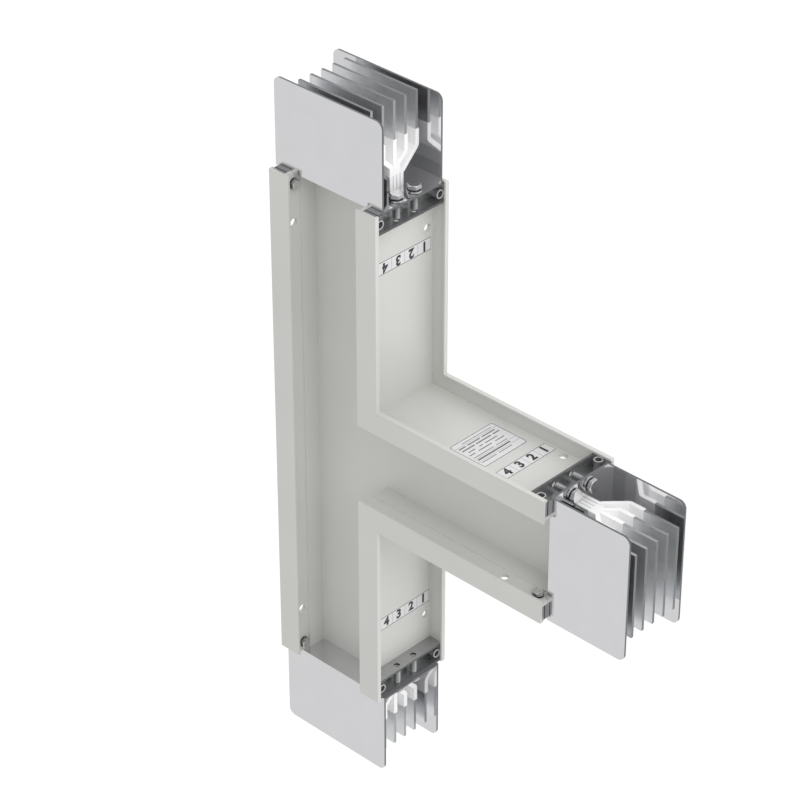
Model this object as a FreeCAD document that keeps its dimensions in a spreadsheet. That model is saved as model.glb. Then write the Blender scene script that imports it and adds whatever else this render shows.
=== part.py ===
import FreeCAD, Part
import os
import Sketcher

# Compact busway tee: a straight run with one branch. It lies on its rear flanges.
# The run follows Y, the branch follows +X and the covers face +Z and -Z.
# Inside each body the run and the branch cross at the origin, on the resting plane.

doc = FreeCAD.newDocument("busway_tee")

# Driving sizes in millimetres and degrees

SIZES = [
    ("housing_width", 180.0, "outside width of the run and of the branch"),
    ("housing_depth", 128.0, "front flange face to rear flange face"),
    ("arm_length", 275.0, "from the side of the crossing arm to an open end"),
    ("flange_lip", 4.0, "flange of a frame beyond the inner face of its wall"),
    ("flange_gauge", 3.0, "thickness of a frame flange"),
    ("lip_gauge", 3.0, "thickness of the lip turned along the outer edge of a flange"),
    ("lip_depth", 6.0, "depth of that lip, flange included"),
    ("wall_gauge", 5.0, "thickness of the wall of a frame"),
    ("cover_gauge", 1.5, "sheet thickness of a cover"),
    ("fold_clearance", 3.5, "side bolt washer to the folded edge of a cover"),
    ("joint_reach", 122.0, "joint ends beyond the housing end"),
    ("bar_width", 120.0, "width of a conductor"),
    ("bar_gauge", 4.0, "thickness of a conductor"),
    ("sleeve_gauge", 1.0, "thickness of the insulation on each face"),
    ("bare_length", 52.0, "bare contact length at each conductor end"),
    ("joint_pitch", 19.25, "spacing of the conductors in a joint end"),
    ("flare_finish", 48.0, "housing end to the outer bend of every conductor"),
    ("flare_angle", 45.0, "slope of the conductors where they fan out"),
    ("bend_radius", 2.0, "inside radius of a conductor bend"),
    ("plate_gauge", 3.0, "thickness of a joint plate"),
    ("plate_inset", 12.0, "flange face to the outer face of a joint plate"),
    ("plate_corner", 10.0, "corner radius of a joint plate"),
    ("foot_gap", 0.5, "clearance between a foot and the conductor stack"),
    ("bracket_length", 29.0, "length of an end bracket along its arm"),
    ("bracket_gauge", 3.0, "plate thickness of an end bracket"),
    ("bracket_hole", 8.5, "diameter of the open holes in the inner plate of a bracket"),
    ("fixing_inset", 12.0, "flange face to the axis of side bolts and fixing holes"),
    ("fixing_hole", 12.0, "diameter of the fixing holes"),
    ("fixing_setback", 70.0, "housing end to the axis of a fixing hole"),
    ("side_bolt", 8.0, "thread diameter of a side bolt"),
    ("side_bolt_setback", 15.0, "housing end to the axis of a side bolt"),
    ("side_bolt_recess", 8.0, "outer end of a spacer to the tip of a side bolt"),
    ("spacer", 12.4, "outside diameter of the spacer tube round a side bolt"),
    ("side_head_flats", 13.0, "size across flats of a side bolt head"),
    ("side_head_height", 5.3, "height of a side bolt head"),
    ("side_washer", 16.0, "diameter of a side bolt washer"),
    ("end_bolt", 10.0, "thread diameter of an end bolt"),
    ("end_bolt_spread", 31.0, "spacing of the two end bolts of a bracket"),
    ("end_bolt_grip", 23.0, "length of an end bolt inside its bracket"),
    ("end_head_flats", 16.0, "size across flats of an end bolt head"),
    ("end_head_height", 6.4, "height of an end bolt head"),
    ("end_washer", 20.0, "diameter of an end bolt washer"),
    ("washer_gauge", 2.0, "thickness of a washer"),
    ("bolt_play", 0.4, "clearance between a bolt and its hole, on the radius"),
]

# Sides of the polygons that stand for small round forms, covered ones and open ones

COVERED_SIDES = 12
OPEN_SIDES = 24

# Straight steps that stand for the round of a bend

BEND_STEPS = 2

sheet = doc.addObject("Spreadsheet::Sheet", "Sizes")
for row, (alias, value, meaning) in enumerate(SIZES, start=1):
    sheet.set(f"A{row}", meaning)
    sheet.set(f"B{row}", str(value))
    sheet.setAlias(f"B{row}", alias)
doc.recompute()


def size(alias):
    """Expression that reads one driving size."""
    return f"Sizes.{alias}"


# Places worked out from the driving sizes, as expressions

HALF_WIDTH = f"{size('housing_width')} / 2"
HOUSING_END = f"({HALF_WIDTH} + {size('arm_length')})"
DEPTH = size("housing_depth")
HALF_BAR = f"({size('bar_width')} / 2)"
HALF_SLEEVE = f"({HALF_BAR} + {size('sleeve_gauge')})"
RECESS_FACE = HALF_SLEEVE
LABEL_FACE = f"({RECESS_FACE} + {size('wall_gauge')})"
FLANGE_EDGE = f"({RECESS_FACE} - {size('flange_lip')})"
LIP_FACE = f"({HALF_WIDTH} - {size('lip_gauge')})"
FOLD_EDGE = f"({size('fixing_inset')} + {size('side_washer')} / 2 + {size('fold_clearance')})"
SLEEVED = f"({size('bar_gauge')} + 2 * {size('sleeve_gauge')})"
MIDDLE = f"({DEPTH} / 2)"
STACK_BOTTOM = f"({MIDDLE} - 2.5 * {SLEEVED})"
STACK_TOP = f"({MIDDLE} + 1.5 * {SLEEVED} + {size('bar_gauge')})"
JOINT_END = f"({HOUSING_END} + {size('joint_reach')})"
FLARE_END = f"({HOUSING_END} + {size('flare_finish')})"
SLEEVE_END = f"({JOINT_END} - {size('bare_length')})"
FOOT_FACE = f"({HOUSING_END} + {size('plate_gauge')})"
CROSSING_X = f"(-({size('arm_length')} + {size('joint_reach')}) / 2)"

ARMS = {"branch": 0.0, "top": 90.0, "bottom": -90.0}
FRONT, REAR = "front", "rear"


# Helpers for bodies, sketches and features

def new_body(label, turn=0.0):
    """A body placed with the crossing of the tee, turned about Z to face its arm."""
    body = doc.addObject("PartDesign::Body", label)
    body.Label = label
    body.Placement = FreeCAD.Placement(FreeCAD.Vector(), FreeCAD.Rotation(FreeCAD.Vector(0, 0, 1), turn))
    body.setExpression(".Placement.Base.x", CROSSING_X)
    return body


def own(body, role):
    """One of the body's own planes or axes."""
    return [item for item in body.Origin.OriginFeatures if item.Role == role][0]


def new_sketch(body, name, role, offset=None):
    """A sketch on one of the body's own planes; offset lifts it off that plane."""
    sketch = body.newObject("Sketcher::SketchObject", f"{body.Name}_{name}")
    sketch.AttachmentSupport = [(own(body, role), "")]
    sketch.MapMode = "FlatFace"
    if offset is not None:
        sketch.setExpression(".AttachmentOffset.Base.z", offset)
    return sketch


def pin_point(sketch, line, end, across, upward):
    """Hold one end of a line at the two places that the expressions give."""
    for kind, place in (("DistanceX", across), ("DistanceY", upward)):
        index = sketch.addConstraint(Sketcher.Constraint(kind, -1, 1, line, end, 0.0))
        sketch.setExpression(f"Constraints[{index}]", place)


def value_of(expression):
    return float(sheet.evalExpression(expression))


def add_outline(sketch, points):
    """A closed outline of straight lines through points given as expression pairs."""
    places = [FreeCAD.Vector(value_of(a), value_of(b), 0) for a, b in points]
    first = sketch.GeometryCount
    count = len(points)
    for index in range(count):
        sketch.addGeometry(Part.LineSegment(places[index], places[(index + 1) % count]), False)
    for index in range(count):
        after = first + (index + 1) % count
        sketch.addConstraint(Sketcher.Constraint("Coincident", first + index, 2, after, 1))
    for index, (across, upward) in enumerate(points):
        pin_point(sketch, first + index, 1, across, upward)


def add_circle(sketch, across, upward, diameter):
    place = FreeCAD.Vector(value_of(across), value_of(upward), 0)
    circle = Part.Circle(place, FreeCAD.Vector(0, 0, 1), value_of(diameter) / 2)
    index = sketch.addGeometry(circle, False)
    pin_point(sketch, index, 3, across, upward)
    radius = sketch.addConstraint(Sketcher.Constraint("Radius", index, value_of(diameter) / 2))
    sketch.setExpression(f"Constraints[{radius}]", f"({diameter}) / 2")


def add_polygon(sketch, across, upward, diameter, sides):
    """A regular polygon whose corners lie on a circle of the given diameter."""
    turns = [f"{corner} * 360 / {sides}" for corner in range(sides)]
    add_outline(sketch, [(f"{across} + ({diameter}) / 2 * cos({turn})",
                          f"{upward} + ({diameter}) / 2 * sin({turn})") for turn in turns])


def add_pad(body, sketch, length, midplane=False, reverse=False):
    pad = body.newObject("PartDesign::Pad", f"{sketch.Name}_pad")
    pad.Profile = sketch
    pad.setExpression("Length", length)
    pad.Midplane = midplane
    pad.Reversed = reverse
    pad.Refine = True
    return pad


def add_slice(body, name, outlines, bottom, height):
    """A pad of outlines in the XY plane, from one level upwards."""
    sketch = new_sketch(body, name, "XY_Plane", bottom)
    for points in outlines:
        add_outline(sketch, points)
    return add_pad(body, sketch, height)


def add_pocket(body, sketch, length=None):
    """A cut through everything on both sides, or to a depth behind the sketch."""
    before = body.Tip.Shape.Volume
    pocket = body.newObject("PartDesign::Pocket", f"{sketch.Name}_cut")
    pocket.Profile = sketch
    if length is None:
        pocket.Type = "ThroughAll"
        pocket.Midplane = True
    else:
        pocket.setExpression("Length", length)
    pocket.Refine = True
    doc.recompute()
    if pocket.Shape.Volume > before - 1.0:
        raise RuntimeError(f"{pocket.Name} cuts nothing")
    return pocket


def add_levels(body, originals, spacing):
    """Repeat features, or the whole body where none are given, once at a higher level."""
    pattern = body.newObject("PartDesign::LinearPattern", f"{body.Tip.Name}_levels")
    if originals:
        pattern.Originals = originals
    else:
        pattern.TransformMode = "Whole shape"
    pattern.Direction = (own(body, "Z_Axis"), [""])
    pattern.Occurrences = 2
    pattern.setExpression("Length", spacing)
    body.Tip = pattern
    doc.recompute()


def add_sides(body):
    """Repeat the whole body on the other side of its arm."""
    mirror = body.newObject("PartDesign::Mirrored", f"{body.Tip.Name}_sides")
    mirror.TransformMode = "Whole shape"
    mirror.MirrorPlane = (own(body, "XZ_Plane"), [""])
    body.Tip = mirror


def mirrored(points):
    """The same outline on the other side of the run's cross axis."""
    return [(across, f"-({upward})") for across, upward in points]


# Side frames: channel profiles with lipped flanges that carry both covers, open on their outer side

SIDE_SPREAD = f"{DEPTH} - 2 * {size('fixing_inset')}"
SIDE_BOLT_HOLE = f"({size('side_bolt')} + 2 * {size('bolt_play')})"


def corner_strip(inner, outer):
    """L-shaped band between the run and the branch, from one end to the other."""
    return [(outer, HOUSING_END), (inner, HOUSING_END), (inner, inner),
            (HOUSING_END, inner), (HOUSING_END, outer), (outer, outer)]


def straight_strip(inner, outer):
    """Straight band along the side of the run that has no branch."""
    return [(f"-{outer}", f"-{HOUSING_END}"), (f"-{inner}", f"-{HOUSING_END}"),
            (f"-{inner}", HOUSING_END), (f"-{outer}", HOUSING_END)]


def frame_holes(body, name, role, along_signs):
    """Fixing holes and side bolt holes through the wall of a frame."""
    sketch = new_sketch(body, name, role)
    for sign in along_signs:
        fixing_along = f"{sign} * ({HOUSING_END} - {size('fixing_setback')})"
        bolt_along = f"{sign} * ({HOUSING_END} - {size('side_bolt_setback')})"
        add_circle(sketch, fixing_along, size("fixing_inset"), size("fixing_hole"))
        add_polygon(sketch, bolt_along, size("fixing_inset"), SIDE_BOLT_HOLE, COVERED_SIDES)
    add_levels(body, [add_pocket(body, sketch)], SIDE_SPREAD)


def side_frame(label, flange, lip, wall, holes):
    body = new_body(label)
    for name, outline, depth in (("flange", flange, size("flange_gauge")), ("lip", lip, size("lip_depth"))):
        add_slice(body, f"rear_{name}", [outline], "0", depth)
        add_slice(body, f"front_{name}", [outline], f"{DEPTH} - {depth}", depth)
    add_slice(body, "wall", [wall], "0", DEPTH)
    doc.recompute()
    for name, role, signs in holes:
        frame_holes(body, name, role, signs)


BANDS = [(FLANGE_EDGE, HALF_WIDTH), (LIP_FACE, HALF_WIDTH), (RECESS_FACE, LABEL_FACE)]

side_frame("side_frame_left", *[straight_strip(*band) for band in BANDS],
           [("run_holes", "YZ_Plane", (1, -1))])
side_frame("side_frame_upper", *[corner_strip(*band) for band in BANDS],
           [("run_holes", "YZ_Plane", (1,)), ("branch_holes", "XZ_Plane", (1,))])
side_frame("side_frame_lower", *[mirrored(corner_strip(*band)) for band in BANDS],
           [("run_holes", "YZ_Plane", (-1,)), ("branch_holes", "XZ_Plane", (1,))])


# Covers: T-shaped sheets with folded edges that press on the conductor stack

def tee_outline(half, end):
    return [(f"-{half}", f"-{end}"), (half, f"-{end}"), (half, f"-{half}"), (end, f"-{half}"),
            (end, half), (half, half), (half, end), (f"-{half}", end)]


def cover(label, web_bottom, fold_bottom, fold_top):
    inside = f"({RECESS_FACE} - {size('cover_gauge')})"
    folds = [straight_strip(inside, RECESS_FACE), corner_strip(inside, RECESS_FACE),
             mirrored(corner_strip(inside, RECESS_FACE))]
    body = new_body(label)
    add_slice(body, "web", [tee_outline(RECESS_FACE, HOUSING_END)], web_bottom, size("cover_gauge"))
    add_slice(body, "folds", folds, fold_bottom, f"{fold_top} - {fold_bottom}")


cover("front_cover", STACK_TOP, STACK_TOP, f"({DEPTH} - {FOLD_EDGE})")
cover("rear_cover", f"{STACK_BOTTOM} - {size('cover_gauge')}", FOLD_EDGE, STACK_BOTTOM)


# Conductors: flat tee-shaped bars, stacked tightly inside and fanned out at the joints

def bar_levels(index):
    """Height of a bar's centre inside the housing and in the joint, 2 being the front bar."""
    joint = f"({MIDDLE} + {index} * {size('joint_pitch')})"
    if index == 2:
        return f"({STACK_TOP} - {size('bar_gauge')} / 2)", joint
    return f"({MIDDLE} + {index} * {SLEEVED})", joint


def bent_edge(index, half_gauge, end, side):
    """Edge of a bent strip from its first bend to its end, above or below its centre line."""
    inside, joint = bar_levels(index)
    last = (end, f"{joint} + {side} * {half_gauge}")
    if index == 0:
        return [last]
    away = 1 if index > 0 else -1
    radius = f"({size('bend_radius')} + {size('bar_gauge')} / 2)"
    setback = f"{radius} * tan({size('flare_angle')} / 2)"
    flare = f"abs({joint} - {inside}) / tan({size('flare_angle')})"
    first, second = f"({FLARE_END} - {flare} - {setback})", f"({FLARE_END} + {setback})"
    tight, wide = [f"({radius} - {hand * away * side} * {half_gauge})" for hand in (1, -1)]
    turns = [f"{step} * {size('flare_angle')} / {BEND_STEPS}" for step in range(BEND_STEPS + 1)]
    start = [(f"({first} + {tight} * sin({turn}))",
              f"{inside} + {away} * ({radius} - {tight} * cos({turn}))") for turn in turns]
    finish = [(f"({second} - {wide} * sin({turn}))",
               f"{joint} - {away} * ({radius} - {wide} * cos({turn}))") for turn in turns]
    return start + finish[::-1] + [last]


def run_profile(index, half_gauge, end):
    """Side view of the straight part of a bar, bent at both of its ends."""
    above = bent_edge(index, half_gauge, end, 1)
    below = bent_edge(index, half_gauge, end, -1)
    right = above + below[::-1]
    left = [(f"-{along}", level) for along, level in right[::-1]]
    return right + left


def branch_profile(index, half_gauge, end):
    """Side view of the branching part of a bar, from the middle of the run to its end."""
    inside, _ = bar_levels(index)
    above = bent_edge(index, half_gauge, end, 1)
    below = bent_edge(index, half_gauge, end, -1)
    return ([("0", f"{inside} + {half_gauge}")] + above + below[::-1]
            + [("0", f"{inside} - {half_gauge}")])


def strip_sketches(body, name, index, half_gauge, end):
    run = new_sketch(body, f"{name}_run", "YZ_Plane")
    add_outline(run, run_profile(index, half_gauge, end))
    branch = new_sketch(body, f"{name}_branch", "XZ_Plane")
    add_outline(branch, branch_profile(index, half_gauge, end))
    return run, branch


def conductor(label, index):
    body = new_body(label)
    for sketch in strip_sketches(body, "bar", index, f"({size('bar_gauge')} / 2)", JOINT_END):
        add_pad(body, sketch, size("bar_width"), midplane=True)


def sleeve(label, index):
    """Insulation around one conductor, open at the three bare ends."""
    body = new_body(label)
    for sketch in strip_sketches(body, "skin", index, f"({SLEEVED} / 2)", SLEEVE_END):
        add_pad(body, sketch, f"2 * {HALF_SLEEVE}", midplane=True)
    doc.recompute()
    for sketch in strip_sketches(body, "core", index, f"({size('bar_gauge')} / 2)", JOINT_END):
        pocket = body.newObject("PartDesign::Pocket", f"{sketch.Name}_cut")
        pocket.Profile = sketch
        pocket.setExpression("Length", size("bar_width"))
        pocket.Midplane = True


conductor("earth_bar", 2)
for index in (1, 0, -1, -2):
    conductor(f"conductor_{2 - index}", index)
    sleeve(f"insulation_{2 - index}", index)


# Joint plates: outer plates of the joint ends, bent to a foot that is bolted to the end brackets

END_BOLT_SIDE = f"(({LABEL_FACE} + {HALF_WIDTH}) / 2)"
END_BOLT_RISE = f"{size('end_bolt_spread')} / 2"
END_BOLT_HOLE = f"({size('end_bolt')} + 2 * {size('bolt_play')})"


def joint_plate(label, turn, side):
    """side is 1 for the front plate and -1 for the rear one."""
    outer = f"({DEPTH} - {size('plate_inset')})" if side > 0 else size("plate_inset")
    plate_bottom = f"{outer} - {size('plate_gauge')}" if side > 0 else outer
    parting = f"({MIDDLE} + {side} * {size('foot_gap')} / 2)"
    stack_edge = STACK_TOP if side > 0 else STACK_BOTTOM
    notch = f"({stack_edge} + {side} * {size('foot_gap')})"
    notch_side = f"({HALF_SLEEVE} + {size('foot_gap')})"
    foot = [(HALF_WIDTH, outer), (f"-{HALF_WIDTH}", outer), (f"-{HALF_WIDTH}", parting),
            (f"-{notch_side}", parting), (f"-{notch_side}", notch), (notch_side, notch),
            (notch_side, parting), (HALF_WIDTH, parting)]
    body = new_body(label, turn)
    foot_sketch = new_sketch(body, "foot", "YZ_Plane", HOUSING_END)
    add_outline(foot_sketch, foot)
    for hand in (1, -1):
        level = f"({MIDDLE} + {side} * {END_BOLT_RISE})"
        add_polygon(foot_sketch, f"{hand} * {END_BOLT_SIDE}", level, END_BOLT_HOLE, COVERED_SIDES)
    add_pad(body, foot_sketch, size("plate_gauge"))
    outline = [(HOUSING_END, f"-{HALF_WIDTH}"), (JOINT_END, f"-{HALF_WIDTH}"),
               (JOINT_END, HALF_WIDTH), (HOUSING_END, HALF_WIDTH)]
    plate = add_slice(body, "plate", [outline], plate_bottom, size("plate_gauge"))
    doc.recompute()
    tip_x = value_of(JOINT_END)
    corners = [f"Edge{number}" for number, edge in enumerate(plate.Shape.Edges, start=1)
               if all(abs(vertex.X - tip_x) < 0.01 for vertex in edge.Vertexes)
               and abs(edge.Vertexes[0].Z - edge.Vertexes[-1].Z) > 0.01]
    rounding = body.newObject("PartDesign::Fillet", f"{body.Name}_corners")
    rounding.Base = (plate, corners)
    rounding.setExpression("Radius", size("plate_corner"))


# End brackets: bent plates between the flanges at each open end, open outwards, two on every arm

LOW_END_BOLT = f"({MIDDLE} - {size('end_bolt_spread')} / 2)"
SIDE_BOLT_ALONG = f"({HOUSING_END} - {size('side_bolt_setback')})"


def end_bracket(label, turn, hand):
    near, far = f"({hand} * {LABEL_FACE})", f"({hand} * {LIP_FACE})"
    base = f"({hand} * ({LABEL_FACE} + {size('bracket_gauge')}))"
    back = f"({HOUSING_END} - {size('bracket_length')})"
    end_inner = f"({HOUSING_END} - {size('bracket_gauge')})"
    back_inner = f"({back} + {size('bracket_gauge')})"
    outline = [(back, near), (HOUSING_END, near), (HOUSING_END, far), (end_inner, far),
               (end_inner, base), (back_inner, base), (back_inner, far), (back, far)]
    body = new_body(label, turn)
    add_slice(body, "plate", [outline], size("flange_gauge"), f"{DEPTH} - 2 * {size('flange_gauge')}")
    doc.recompute()
    axis_side = f"({hand} * {END_BOLT_SIDE})"
    back_hole = new_sketch(body, "back_hole", "YZ_Plane")
    add_polygon(back_hole, axis_side, LOW_END_BOLT, size("bracket_hole"), COVERED_SIDES)
    end_hole = new_sketch(body, "end_hole", "YZ_Plane", HOUSING_END)
    add_polygon(end_hole, axis_side, LOW_END_BOLT, END_BOLT_HOLE, COVERED_SIDES)
    cuts = [add_pocket(body, back_hole), add_pocket(body, end_hole, size("bracket_gauge"))]
    add_levels(body, cuts, size("end_bolt_spread"))
    cross_hole = new_sketch(body, "side_bolt_hole", "XZ_Plane")
    add_polygon(cross_hole, SIDE_BOLT_ALONG, size("fixing_inset"), SIDE_BOLT_HOLE, COVERED_SIDES)
    add_levels(body, [add_pocket(body, cross_hole)], SIDE_SPREAD)


# Bolts, washers and spacers: hexagon heads on washers, one group of four on each arm

def add_head(sketch, across, upward, flats):
    add_polygon(sketch, across, upward, f"{flats} / cos(30)", 6)


def add_ring(sketch, across, upward, diameter, hole, sides=OPEN_SIDES):
    add_polygon(sketch, across, upward, diameter, sides)
    add_polygon(sketch, across, upward, hole, COVERED_SIDES)


def end_bolts(arm, turn):
    under_head = f"({FOOT_FACE} + {size('washer_gauge')})"
    shank_length = f"{size('washer_gauge')} + {size('plate_gauge')} + {size('end_bolt_grip')}"
    bolts = new_body(f"end_bolts_{arm}", turn)
    head = new_sketch(bolts, "head", "YZ_Plane", under_head)
    add_head(head, END_BOLT_SIDE, LOW_END_BOLT, size("end_head_flats"))
    add_pad(bolts, head, size("end_head_height"))
    shank = new_sketch(bolts, "shank", "YZ_Plane", under_head)
    add_polygon(shank, END_BOLT_SIDE, LOW_END_BOLT, size("end_bolt"), COVERED_SIDES)
    add_pad(bolts, shank, shank_length, reverse=True)
    washers = new_body(f"end_washers_{arm}", turn)
    ring = new_sketch(washers, "ring", "YZ_Plane", FOOT_FACE)
    add_ring(ring, END_BOLT_SIDE, LOW_END_BOLT, size("end_washer"), END_BOLT_HOLE)
    add_pad(washers, ring, size("washer_gauge"))
    for body in (bolts, washers):
        add_levels(body, [], size("end_bolt_spread"))
        add_sides(body)


def side_bolts(arm, turn):
    """Bolts through the frame, each with a washer inside the housing and a spacer outside."""
    under_head = f"({RECESS_FACE} - {size('washer_gauge')})"
    shank_length = f"{LIP_FACE} - {size('side_bolt_recess')} - {under_head}"
    spacer_foot = f"({LABEL_FACE} + {size('bracket_gauge')})"
    bolts = new_body(f"side_bolts_{arm}", turn)
    head = new_sketch(bolts, "head", "XZ_Plane", f"-{under_head}")
    add_head(head, SIDE_BOLT_ALONG, size("fixing_inset"), size("side_head_flats"))
    add_pad(bolts, head, size("side_head_height"))
    shank = new_sketch(bolts, "shank", "XZ_Plane", f"-{under_head}")
    add_polygon(shank, SIDE_BOLT_ALONG, size("fixing_inset"), size("side_bolt"), COVERED_SIDES)
    add_pad(bolts, shank, shank_length, reverse=True)
    washers = new_body(f"side_washers_{arm}", turn)
    ring = new_sketch(washers, "ring", "XZ_Plane", f"-{RECESS_FACE}")
    add_ring(ring, SIDE_BOLT_ALONG, size("fixing_inset"), size("side_washer"), SIDE_BOLT_HOLE)
    add_pad(washers, ring, size("washer_gauge"))
    spacers = new_body(f"spacers_{arm}", turn)
    tube = new_sketch(spacers, "tube", "XZ_Plane", f"-{spacer_foot}")
    add_ring(tube, SIDE_BOLT_ALONG, size("fixing_inset"), size("spacer"), SIDE_BOLT_HOLE, COVERED_SIDES)
    add_pad(spacers, tube, f"{LIP_FACE} - {spacer_foot}", reverse=True)
    for body in (bolts, washers, spacers):
        add_levels(body, [], SIDE_SPREAD)
        add_sides(body)


for arm, turn in ARMS.items():
    joint_plate(f"joint_plate_{arm}_{FRONT}", turn, 1)
    joint_plate(f"joint_plate_{arm}_{REAR}", turn, -1)
    end_bracket(f"end_bracket_{arm}_left", turn, 1)
    end_bracket(f"end_bracket_{arm}_right", turn, -1)
    end_bolts(arm, turn)
    side_bolts(arm, turn)


# Check the document and write one file for each piece

doc.recompute()
broken = [item.Name for item in doc.Objects if {"Invalid", "Error"} & set(item.State)]
if broken:
    raise RuntimeError(f"features failed: {broken}")
os.makedirs("parts", exist_ok=True)
for body in doc.findObjects("PartDesign::Body"):
    if body.Shape.isNull() or not body.Shape.isValid():
        raise RuntimeError(f"{body.Label} has no valid shape")
    body.Shape.exportStep(f"parts/{body.Label}.step")
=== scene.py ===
import math
import bmesh
import bpy
from mathutils import Matrix, Vector


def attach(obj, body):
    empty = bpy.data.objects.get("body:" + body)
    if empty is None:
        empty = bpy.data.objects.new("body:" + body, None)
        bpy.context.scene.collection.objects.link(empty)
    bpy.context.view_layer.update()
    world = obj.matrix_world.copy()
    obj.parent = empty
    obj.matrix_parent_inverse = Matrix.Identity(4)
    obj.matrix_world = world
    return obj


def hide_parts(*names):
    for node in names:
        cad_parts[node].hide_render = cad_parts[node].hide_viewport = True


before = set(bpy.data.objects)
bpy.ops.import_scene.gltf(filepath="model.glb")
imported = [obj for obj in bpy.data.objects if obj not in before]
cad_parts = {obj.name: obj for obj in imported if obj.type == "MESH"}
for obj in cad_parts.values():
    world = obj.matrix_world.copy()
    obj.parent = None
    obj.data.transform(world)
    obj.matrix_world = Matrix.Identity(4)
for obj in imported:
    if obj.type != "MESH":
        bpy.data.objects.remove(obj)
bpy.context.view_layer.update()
scene = bpy.context.scene
MM = 0.001


# Camera: looks down on the front covers from beyond the upper end and the branch.
# Its place and lens come from the corners of the housing in the photograph.
CAMERA_PLACE = (2.08167437, 2.15989141, 2.37405634)
CAMERA_TURN = (-33.1933547, 43.7281541, -0.0362204)
CAMERA_LENS = 137.526

camera_data = bpy.data.cameras.new("camera")
camera_data.sensor_width = 36.0
camera_data.lens = CAMERA_LENS
camera = bpy.data.objects.new("camera", camera_data)
camera.location = CAMERA_PLACE
camera.rotation_euler = [math.radians(angle) for angle in CAMERA_TURN]
scene.collection.objects.link(camera)
scene.camera = camera


# Studio: a bright pale floor and an even surround, with one wide soft lamp low on the
# side of the branch, so the sides that face it get more light than the front covers.
FLOOR_HALF = 12.0
FLOOR_GLOW = 0.9
FLOOR_GREY = 0.2
FLOOR_ROUGHNESS = 0.9
FLOOR_SPECULAR = 0.1
SURROUND_STRENGTH = 0.77
LAMP_PLACE = Vector((2.7, 2.7, 1.2))
LAMP_WIDTH = 3.0
LAMP_HEIGHT = 1.6
LAMP_POWER = 44.0
AIM = Vector((-0.1, 0.0, 0.06))

scene.view_settings.view_transform = "Standard"
world = bpy.data.worlds.new("studio")
world.use_nodes = True
world.node_tree.nodes["Background"].inputs["Color"].default_value = (1.0, 1.0, 1.0, 1.0)
world.node_tree.nodes["Background"].inputs["Strength"].default_value = SURROUND_STRENGTH
scene.world = world
light = bpy.data.lights.new("side_lamp", "AREA")
light.shape = "RECTANGLE"
light.size = LAMP_WIDTH
light.size_y = LAMP_HEIGHT
light.energy = LAMP_POWER
lamp = bpy.data.objects.new("side_lamp", light)
lamp.location = LAMP_PLACE
lamp.rotation_euler = (AIM - LAMP_PLACE).to_track_quat("-Z", "Y").to_euler()
lamp.visible_glossy = False
scene.collection.objects.link(lamp)

floor_mesh = bpy.data.meshes.new("floor")
floor_mesh.from_pydata([(-FLOOR_HALF, -FLOOR_HALF, 0), (FLOOR_HALF, -FLOOR_HALF, 0),
                        (FLOOR_HALF, FLOOR_HALF, 0), (-FLOOR_HALF, FLOOR_HALF, 0)], [], [(0, 1, 2, 3)])
floor = bpy.data.objects.new("floor", floor_mesh)
scene.collection.objects.link(floor)
floor_paint = bpy.data.materials.new("floor_paint")
floor_paint.use_nodes = True
floor_shader = floor_paint.node_tree.nodes["Principled BSDF"]
floor_shader.inputs["Base Color"].default_value = (FLOOR_GREY, FLOOR_GREY, FLOOR_GREY, 1.0)
floor_shader.inputs["Emission Color"].default_value = (1.0, 1.0, 1.0, 1.0)
floor_shader.inputs["Emission Strength"].default_value = FLOOR_GLOW
floor_shader.inputs["Roughness"].default_value = FLOOR_ROUGHNESS
floor_shader.inputs["Specular IOR Level"].default_value = FLOOR_SPECULAR
floor_mesh.materials.append(floor_paint)


# Side frames: channel profiles of painted aluminium, one down the closed side of the run
# and two that turn the corner into the branch. Everything else is bolted to them.
HOUSING_LIGHT = (0.677, 0.679, 0.655)
HOUSING_DARK = (0.617, 0.619, 0.595)
COAT_ROUGHNESS = 0.36
COAT_PATCHES = 7.0
COAT_GRAIN = 1400.0
COAT_DEPTH = 0.00003
COAT_SPREAD = (0.1, 0.9)
MASK_SPREAD = (0.3, 0.7)
EDGE_ANGLE = 50
EDGE_STEPS = 2
FRAME_EDGE = 0.5 * MM
FRAMES = ["side_frame_left", "side_frame_upper", "side_frame_lower"]


def new_group(name, inputs, outputs):
    """A shader node group with float or vector inputs and the outputs it is given."""
    group = bpy.data.node_groups.new(name, "ShaderNodeTree")
    for label, kind, value in inputs:
        socket = group.interface.new_socket(label, in_out="INPUT", socket_type=kind)
        socket.default_value = value
    for label in outputs:
        group.interface.new_socket(label, in_out="OUTPUT", socket_type="NodeSocketFloat")
    return group, group.nodes.new("NodeGroupInput"), group.nodes.new("NodeGroupOutput")


def add_noise(tree, vector, scale, detail):
    noise = tree.nodes.new("ShaderNodeTexNoise")
    tree.links.new(vector, noise.inputs["Vector"])
    if isinstance(scale, bpy.types.NodeSocket):
        tree.links.new(scale, noise.inputs["Scale"])
    else:
        noise.inputs["Scale"].default_value = scale
    noise.inputs["Detail"].default_value = detail
    return noise.outputs["Fac"]


# mottle: slow patches and fine grain of a coated or cast surface
mottle, mottle_in, mottle_out = new_group(
    "mottle", [("Place", "NodeSocketVector", (0, 0, 0)), ("Patch scale", "NodeSocketFloat", 8.0),
               ("Grain scale", "NodeSocketFloat", 1000.0)], ["Patches", "Grain"])
for label, scale, detail in (("Patches", "Patch scale", 4.0), ("Grain", "Grain scale", 2.0)):
    value = add_noise(mottle, mottle_in.outputs["Place"], mottle_in.outputs[scale], detail)
    mottle.links.new(value, mottle_out.inputs[label])


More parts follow.
